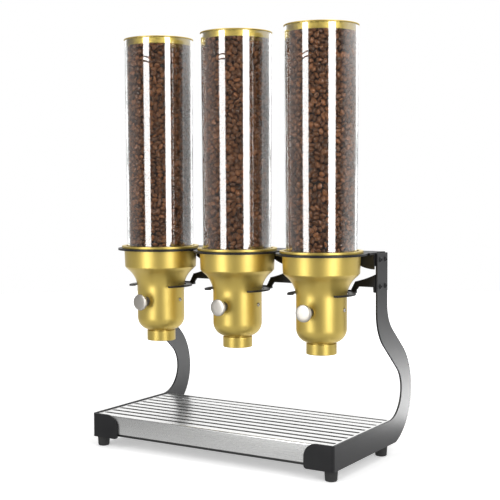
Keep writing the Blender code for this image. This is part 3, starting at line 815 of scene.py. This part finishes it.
def drill(name, radius, segments):
    """A cutter that runs along +Z through the wall of the hopper's body."""
    start = 0.030
    end = 0.045
    profile = [(0, end), (radius, end), (radius, start), (0, start)]
    return lathe(name, profile, segments, closed=False)


def hopper_mesh():
    """The hopper with its holes for the knob's bush and for the screw on its right."""
    bush_hole = 0.0065
    screw_hole = 0.0019
    bush = moved(drill("bush_hole", bush_hole, 32), Matrix.Translation((0, 0, KNOB_Z)) @ TO_FRONT)
    screw = moved(drill("screw_hole", screw_hole, 20), Matrix.Translation((0, 0, SCREW_Z)) @ TO_RIGHT)
    return cut(lathe("hopper", hopper_profile(), 128), [bush, screw])


def seal_mesh():
    top = 0.0035
    outer = 0.0567
    inner = 0.0545
    profile = [(outer, top), (outer, TUBE_FOOT), (inner, TUBE_FOOT), (tube_radius(top) + GAP, top)]
    return lathe("seal", soften(profile, 0.0004), 96)


def spout_mesh():
    """The spout: a ring under the bowl with a narrower collar that goes up into it."""
    top = -0.1365
    collar = 0.0206
    collar_top = -0.1300
    bore = 0.0185
    profile = [(collar, collar_top), (collar, top), (SPOUT_RADIUS, top), (SPOUT_RADIUS, SPOUT_END),
               (bore, SPOUT_END), (bore, collar_top)]
    return lathe("spout", soften(profile, 0.0006, steps=3), 96)


def knob_mesh():
    """A flat disc with a barely domed face, a round front edge and a blind hole for the rod."""
    radius = 0.0132
    crown = 0.0003
    edge = 0.0015
    chamfer = 0.0008
    hole = 0.0044
    hole_end = KNOB_FACE - 0.0020
    profile = [(0.0, KNOB_FACE)] + [(radius * s, KNOB_FACE - crown * s ** 2) for s in (0.25, 0.5, 0.75)]
    profile += arc((radius - edge, hole_end), edge, 80, 0, 7)
    profile += [(radius, KNOB_BACK + chamfer), (radius - chamfer, KNOB_BACK), (hole, KNOB_BACK),
                (hole, hole_end), (0.0, hole_end)]
    return moved(lathe("knob", profile, 72, closed=False), Matrix.Translation((0, 0, KNOB_Z)) @ TO_FRONT)


def bush_mesh():
    """The flanged bush in the front wall that guides the rod."""
    flange = BODY_RADIUS + GAP
    face = flange + 0.0014
    flange_radius = 0.0097
    barrel = 0.0062
    barrel_end = 0.0350
    bore = 0.0043
    profile = [(flange_radius, face), (flange_radius, flange), (barrel, flange), (barrel, barrel_end),
               (bore, barrel_end), (bore, face)]
    bush = lathe("bush", soften(profile, 0.0003), 48)
    return moved(bush, Matrix.Translation((0, 0, KNOB_Z)) @ TO_FRONT)


def tube_along(name, path, radius, sides=10):
    """A round wire along a path of points, with closed ends."""
    points = [Vector(p) for p in path]
    made = []
    normal = None
    for i, point in enumerate(points):
        ahead = points[min(i + 1, len(points) - 1)] - points[max(i - 1, 0)]
        ahead.normalize()
        if normal is None:
            normal = ahead.orthogonal().normalized()
        normal = (normal - ahead * normal.dot(ahead)).normalized()
        side = ahead.cross(normal)
        for k in range(sides):
            a = 2 * math.pi * k / sides
            made.append(point + (normal * math.cos(a) + side * math.sin(a)) * radius)
    faces = []
    for i in range(len(points) - 1):
        for k in range(sides):
            a = i * sides + k
            b = i * sides + (k + 1) % sides
            faces.append((a, b, b + sides, a + sides))
    faces.append(tuple(reversed(range(sides))))
    faces.append(tuple(range((len(points) - 1) * sides, len(points) * sides)))
    return tidy_mesh(mesh_from(name, [tuple(p) for p in made], faces))


def spring_mesh():
    """The coil between the bush and the back of the knob."""
    coil = 0.0077
    wire = 0.00055
    turns = 5
    steps = 28
    start = 0.0416
    end = KNOB_BACK - GAP - wire
    path = []
    for number in range(turns * steps + 1):
        angle = 2 * math.pi * number / steps
        share = number / (turns * steps)
        path.append((coil * math.cos(angle), coil * math.sin(angle), start + (end - start) * share))
    data = tube_along("spring", path, wire)
    return moved(data, Matrix.Translation((0, 0, KNOB_Z)) @ TO_FRONT)


def carrier_screw_mesh():
    """The small screw on the right side of a hopper, head outwards."""
    screw = button_screw("carrier_screw", BODY_RADIUS + 0.0002, radius=0.0032, height=0.0020,
                         bow=(1.1, 0.8, 0.5, 0.25, 0.0), socket=0.0013, shank=0.0015, tip=0.0345, segments=28)
    return moved(screw, Matrix.Translation((0, 0, SCREW_Z)) @ TO_RIGHT)


# Loose beans

def bean_template(fine):
    """Points, faces and crease weights of one bean, long axis X, flat side towards -Z."""
    if fine:
        around = [0, 45, 90, 135, 180, 222, 256, 264, 270, 276, 284, 318]
        along = [-0.82, -0.42, 0.0, 0.42, 0.82]
    else:
        around = [0, 60, 120, 180, 250, 290]
        along = [-0.62, 0.0, 0.62]
    length = 0.0049
    width = 0.0035
    height = 0.0029
    flat = 0.0014
    flat_start = 1.9
    tip_z = -0.0003
    crease_at = 270
    crease_reach = 8
    crease_depth = 0.0010
    crease_sway = 0.0004
    points = [(-length, 0.0, tip_z)]
    crease = [0.0]
    for x in along:
        swell = math.sqrt(1 - x * x)
        for degrees in around:
            a = math.radians(degrees)
            y = width * math.cos(a) * swell
            z = math.sin(a)
            z = z * height * swell if z > 0 else -min(-z * flat_start, 1.0) * flat * swell
            in_crease = fine and degrees == crease_at
            if in_crease:
                z += crease_depth * swell
            if fine and abs(degrees - crease_at) < crease_reach:
                y += crease_sway * math.sin(3 * x)
            points.append((x * length, y, z))
            crease.append(1.0 if in_crease else 0.0)
    points.append((length, 0.0, tip_z))
    crease.append(0.0)
    count = len(around)
    faces = []
    for k in range(count):
        n = (k + 1) % count
        faces.append((0, 1 + n, 1 + k))
        for ring in range(len(along) - 1):
            a = 1 + ring * count
            b = a + count
            faces.append((a + k, a + n, b + n, b + k))
        last = 1 + (len(along) - 1) * count
        faces.append((len(points) - 1, last + k, last + n))
    return np.array(points), faces, np.array(crease)


def packed_spots(count, width, height, seed, rounds):
    """Places and headings of beans that lie side by side on a strip which wraps round at its width.

    Each bean is three round lobes in a row, and lobes of two beans that overlap push both beans apart.
    """
    lobes = np.array([-0.0029, 0.0, 0.0029])
    reach = 0.0064
    neighbour_reach = 0.014
    neighbour_rounds = 8
    push_share = 0.16
    inertia = 0.0000075
    twist_share = 0.5
    rng = np.random.default_rng(seed)
    spots = np.column_stack([rng.uniform(0, width, count), rng.uniform(0, height, count)])
    heading = rng.uniform(0, math.pi, count)
    for turn in range(rounds):
        if turn % neighbour_rounds == 0:
            dx = spots[:, None, 0] - spots[None, :, 0]
            dx -= width * np.round(dx / width)
            dy = spots[:, None, 1] - spots[None, :, 1]
            near = np.triu(dx * dx + dy * dy < neighbour_reach ** 2, 1)
            first, second = np.nonzero(near)
        axis = np.column_stack([np.cos(heading), np.sin(heading)])
        shift = np.zeros_like(spots)
        twist = np.zeros(count)
        for p in lobes:
            for q in lobes:
                gap = spots[first] + axis[first] * p - spots[second] - axis[second] * q
                gap[:, 0] -= width * np.round(gap[:, 0] / width)
                size = np.hypot(gap[:, 0], gap[:, 1]) + 1e-9
                push = gap * (np.clip(reach - size, 0, None) / size)[:, None] * push_share
                np.add.at(shift, first, push)
                np.add.at(shift, second, -push)
                turned = axis[first, 0] * push[:, 1] - axis[first, 1] * push[:, 0]
                np.add.at(twist, first, p * turned)
                turned = axis[second, 1] * push[:, 0] - axis[second, 0] * push[:, 1]
                np.add.at(twist, second, q * turned)
        spots += shift
        heading += twist / inertia * twist_share
        spots[:, 0] %= width
        spots[:, 1] = np.clip(spots[:, 1], 0, height)
    return spots, heading


def bean_layer(name, count, depth, seed, fine):
    """Beans lying this deep behind the inside of the tube, in the tube's own frame."""
    rng = random.Random(seed)
    low = TUBE_FOOT + 0.004
    high = TUBE_TOP - 0.0105
    clearance = 0.0003
    scatter = 0.0008
    darkest = np.array([0.115, 0.046, 0.018])
    warmth = np.array([0.085, 0.030, 0.010])
    crease_tint = np.array([0.10, 0.06, 0.03])
    mean_radius = tube_radius(0.16) - TUBE_WALL - depth
    rounds = 80
    spots, headings = packed_spots(count, 2 * math.pi * mean_radius, high - low, seed, rounds)
    shape, faces, crease = bean_template(fine)
    all_points = []
    all_faces = []
    tints = []
    for (u, v), heading in zip(spots, headings):
        angle = u / mean_radius
        height = low + v
        roll = rng.choice((0, 0, 180, 180, 180, 90)) + rng.gauss(0, 24)
        turn = 90 + math.degrees(heading)
        lean = rng.gauss(0, 11)
        size = rng.uniform(0.90, 1.08)
        turned = Matrix.Rotation(angle, 3, "Z") @ Matrix.Rotation(math.radians(90), 3, "Y")
        turned = turned @ Matrix.Rotation(math.radians(turn), 3, "Z")
        turned = turned @ Matrix.Rotation(math.radians(lean), 3, "Y")
        turned = turned @ Matrix.Rotation(math.radians(roll), 3, "X")
        points = shape @ np.array(turned).T * size
        outward = np.array([math.cos(angle), math.sin(angle), 0.0])
        wall = tube_radius(height) - TUBE_WALL - clearance - depth
        reach = wall - (points @ outward).max() - rng.uniform(0.0, scatter)
        points = points + outward * reach + np.array([0.0, 0.0, height])
        radial = np.hypot(points[:, 0], points[:, 1])
        over = np.clip(radial / (wall + 0.00005), 1.0, None)
        points[:, 0] /= over
        points[:, 1] /= over
        base = len(all_points) * len(shape)
        all_faces += [tuple(base + i for i in face) for face in faces]
        all_points.append(points)
        warm = rng.random()
        dark = rng.uniform(0.5, 1.4)
        tint = np.ones((len(shape), 4))
        tint[:, :3] = (darkest + warmth * warm) * dark + crease[:, None] * crease_tint
        tints.append(tint)
    data = mesh_from(name, np.concatenate(all_points).tolist(), all_faces)
    layer = data.color_attributes.new("tint", "FLOAT_COLOR", "POINT")
    layer.data.foreach_set("color", np.concatenate(tints).ravel())
    return data


def shade_core_mesh():
    """Bumpy heart of the bean fill, behind the beans that show, coloured darker than any bean as painted
    shade of the deep fill.
    """
    rng = random.Random(5)
    rings = 60
    segments = 48
    low = TUBE_FOOT + 0.003
    high = TUBE_TOP - 0.0110
    radius = 0.0425
    bump = 0.0012
    points = []
    for i in range(rings + 1):
        z = low + (high - low) * i / rings
        for k in range(segments):
            a = 2 * math.pi * k / segments
            r = radius + rng.uniform(-bump, bump)
            points.append((r * math.cos(a), r * math.sin(a), z))
    faces = []
    for i in range(rings):
        here = i * segments
        above = here + segments
        for k in range(segments):
            n = (k + 1) % segments
            faces.append((here + k, here + n, above + n, above + k))
    faces.append(tuple(reversed(range(segments))))
    faces.append(tuple(range(rings * segments, (rings + 1) * segments)))
    data = mesh_from("bean_shade_core", points, faces)
    layer = data.color_attributes.new("tint", "FLOAT_COLOR", "POINT")
    # One near-black brown for the whole core: painted shade of the beans deep in the tube.
    layer.data.foreach_set("color", [0.030, 0.016, 0.010, 1.0] * len(points))
    return data


def build_canisters():
    """The three canisters, which share their meshes, each with its beans turned another way."""
    fixed = {
        "hopper": (hopper_mesh(), "gold_satin"),
        "tube_seal": (seal_mesh(), "dark_rubber"),
        "guide_bush": (bush_mesh(), "gold_satin"),
        "carrier_screw": (carrier_screw_mesh(), "knob_metal"),
        "outlet_spout": (spout_mesh(), "gold_satin"),
    }
    pushed = {"push_knob": (knob_mesh(), "knob_metal"), "return_spring": (spring_mesh(), "spring_steel")}
    tube = tube_mesh()
    lid = lid_mesh()
    outer = bean_layer("bean_outer", 1560, 0.0, 11, True)
    inner = bean_layer("bean_inner", 1300, 0.0042, 23, False)
    core = shade_core_mesh()
    for side, spin in zip(SIDES, (0.0, 2.1, 4.0)):
        at = AT_RIM[side]
        for name, (data, look) in fixed.items():
            node = "%s_%s" % (name, side)
            piece("fine_" + node, data, look, "canister_" + side, [node], at)
        for name, (data, look) in pushed.items():
            node = "%s_%s" % (name, side)
            made = piece("fine_" + node, data, look, "plunger_" + side, [node], at)
            if name == "return_spring":
                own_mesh(made)
        piece("fine_tube_" + side, tube, "clear_acrylic", "tube_unit_" + side, ["tube_" + side], at)
        piece("fine_lid_" + side, lid, "gold_satin", "lid_unit_" + side, ["lid_" + side], at)
        turned = at @ Matrix.Rotation(spin, 4, "Z")
        # The core behind the beans carries painted shade.
        for name, data in (("beans", outer), ("inner_beans", inner), ("bean_shade_core", core)):
            piece("%s_%s" % (name, side), data, "roasted_bean", "tube_unit_" + side, (), turned, smooth=60.0)


def dress_cad_nodes():
    """Gives the CAD nodes that stay in sight their finished materials."""
    slots = {entry["node"]: entry["material_slot"] for entry in frame["record"]["subparts"]}
    for name, node in frame["nodes"].items():
        # The crumb tray gets the near-black steel with painted shade in place of its stainless slot.
        look = LOOKS["tray_steel_painted_shade" if name == "crumb_tray" else slots[name]]
        if not node.data.materials:
            node.data.materials.append(look)
        for index in range(len(node.data.materials)):
            node.data.materials[index] = look


# Stage

def area_light(name, location, target, width, height, radiance):
    """A plain rectangular lamp, its height upright, as bright per area as asked."""
    lamp = bpy.data.lights.new(name, "AREA")
    lamp.shape = "RECTANGLE"
    lamp.size = width
    lamp.size_y = height
    lamp.energy = math.pi * width * height * radiance
    made = bpy.data.objects.new(name, lamp)
    bpy.context.scene.collection.objects.link(made)
    back = (Vector(location) - Vector(target)).normalized()
    up = Vector((0, 1, 0)) if abs(back.z) > 0.9 else Vector((0, 0, 1))
    across = up.cross(back).normalized()
    turn = Matrix((across, back.cross(across), back)).transposed().to_4x4()
    made.matrix_world = Matrix.Translation(location) @ turn
    made.visible_camera = False
    return made


def upright_softbox(name, place, width, low, high, radiance):
    middle = (low + high) / 2
    area_light(name, (*place, middle), (0.0, ROW_Y, middle), width, high - low, radiance)


def studio_world():
    """White to the eye and dim for fill. Reflections and tubes see it bright behind and dark in front."""
    world = bpy.data.worlds.new("studio")
    bpy.context.scene.world = world
    world.use_nodes = True
    world.cycles.sampling_method = "NONE"
    tree = world.node_tree

    def node(kind, links, **settings):
        made = tree.nodes.new(kind)
        for key, value in settings.items():
            setattr(made, key, value)
        for key, source in links.items():
            if isinstance(source, (int, float)):
                made.inputs[key].default_value = source
            else:
                tree.links.new(source, made.inputs[key])
        return made.outputs[0]

    def band(source, start, end, top):
        links = {"Value": source, "From Min": start, "From Max": end, "To Max": top}
        return node("ShaderNodeMapRange", links, interpolation_type="SMOOTHSTEP")

    def choose(switch, off, on):
        return node("ShaderNodeMapRange", {"Value": switch, "To Min": off, "To Max": on})

    heading = tree.nodes.new("ShaderNodeSeparateXYZ")
    tree.links.new(tree.nodes.new("ShaderNodeTexCoord").outputs["Generated"], heading.inputs[0])
    behind = band(heading.outputs["Y"], -0.10, 0.60, 1.0)
    below = band(heading.outputs["Z"], -0.03, -0.30, 0.62)
    left = band(heading.outputs["X"], -0.25, -0.95, 0.42)
    above = band(heading.outputs["Z"], 0.05, 0.18, 1.05)
    under = band(heading.outputs["Z"], -0.03, -0.10, 0.80)
    level = node("ShaderNodeMath", {0: above, 1: under}, operation="MAXIMUM")
    level = node("ShaderNodeMath", {0: level, 1: 0.18}, operation="ADD")
    level = node("ShaderNodeMath", {0: level, 1: behind}, operation="MULTIPLY")
    mirrored_light = 0.05
    for part in (level, below, left):
        mirrored_light = node("ShaderNodeMath", {0: mirrored_light, 1: part}, operation="MAXIMUM")
    seen_through = node("ShaderNodeMath", {0: behind, 1: 0.05}, operation="MAXIMUM")
    path = tree.nodes.new("ShaderNodeLightPath").outputs
    strength = choose(path["Is Glossy Ray"], 0.30, mirrored_light)
    strength = choose(path["Is Transmission Ray"], strength, seen_through)
    strength = choose(path["Is Camera Ray"], strength, 1.0)
    background = tree.nodes["Background"].inputs
    background["Color"].default_value = (1.0, 1.0, 1.0, 1.0)
    tree.links.new(strength, background["Strength"])


def floor_mesh():
    """A wide disc, a hair under the feet."""
    radius = 2.6
    top = -0.0002
    under = -0.02
    profile = [(0.0, top), (radius, top), (radius, under), (0.0, under)]
    return lathe("floor", profile, 96, closed=False)


def build_stage():
    """A pale floor, two tall softboxes beside the camera, one overhead and a low glow behind the cheeks."""
    scene = bpy.context.scene
    scene.view_settings.view_transform = "Standard"
    floor = bpy.data.objects.new("floor", floor_mesh())
    floor.data.materials.append(LOOKS["pale_floor"])
    scene.collection.objects.link(floor)
    floor.visible_glossy = False
    floor.visible_transmission = False
    studio_world()
    for name, low, high, radiance in (("lower", 0.02, 0.7185, 4.6), ("seam", 0.7220, 0.7300, 5.0),
                                      ("upper", 0.7335, 1.30, 5.4)):
        upright_softbox("left_softbox_" + name, (-0.2486, -1.018), 0.36, low, high, radiance)
    upright_softbox("right_softbox", (1.231, -0.639), 0.50, 0.02, 1.40, 5.4)
    area_light("top_softbox", (0.2, 0.3, 1.9), (0.0, 0.0, 0.0), 1.6, 1.6, 1.8)
    glow = area_light("rear_glow", (0.33, 0.52, 0.004), (0.33, 0.52, 1.0), 0.60, 0.50, 9.0)
    cheeks = bpy.data.collections.new("cheeks")
    for side in ("left", "right"):
        cheeks.objects.link(bpy.data.objects["fine_cheek_" + side])
    glow.light_linking.receiver_collection = cheeks


def build_camera():
    """A short telephoto lens in front and to the right of the object, looking slightly down at it."""
    focal_length = 77.726592
    place = Vector((0.9243, ROW_Y - 1.4478, RIM_Z + 0.108845))
    heading = 0.556344
    tilt = 0.0626327
    roll = 0.00455489
    lens = bpy.data.cameras.new("camera")
    lens.sensor_width = 36.0
    lens.lens = focal_length
    lens.clip_start = 0.05
    lens.clip_end = 50.0
    made = bpy.data.objects.new("camera", lens)
    bpy.context.scene.collection.objects.link(made)
    turn = (Matrix.Rotation(heading, 4, "Z") @ Matrix.Rotation(math.pi / 2 - tilt, 4, "X")
            @ Matrix.Rotation(-roll, 4, "Z"))
    made.matrix_world = Matrix.Translation(place) @ turn
    bpy.context.scene.camera = made


dress_cad_nodes()
build_stand()
build_canisters()
build_stage()
build_camera()
bpy.context.view_layer.update()
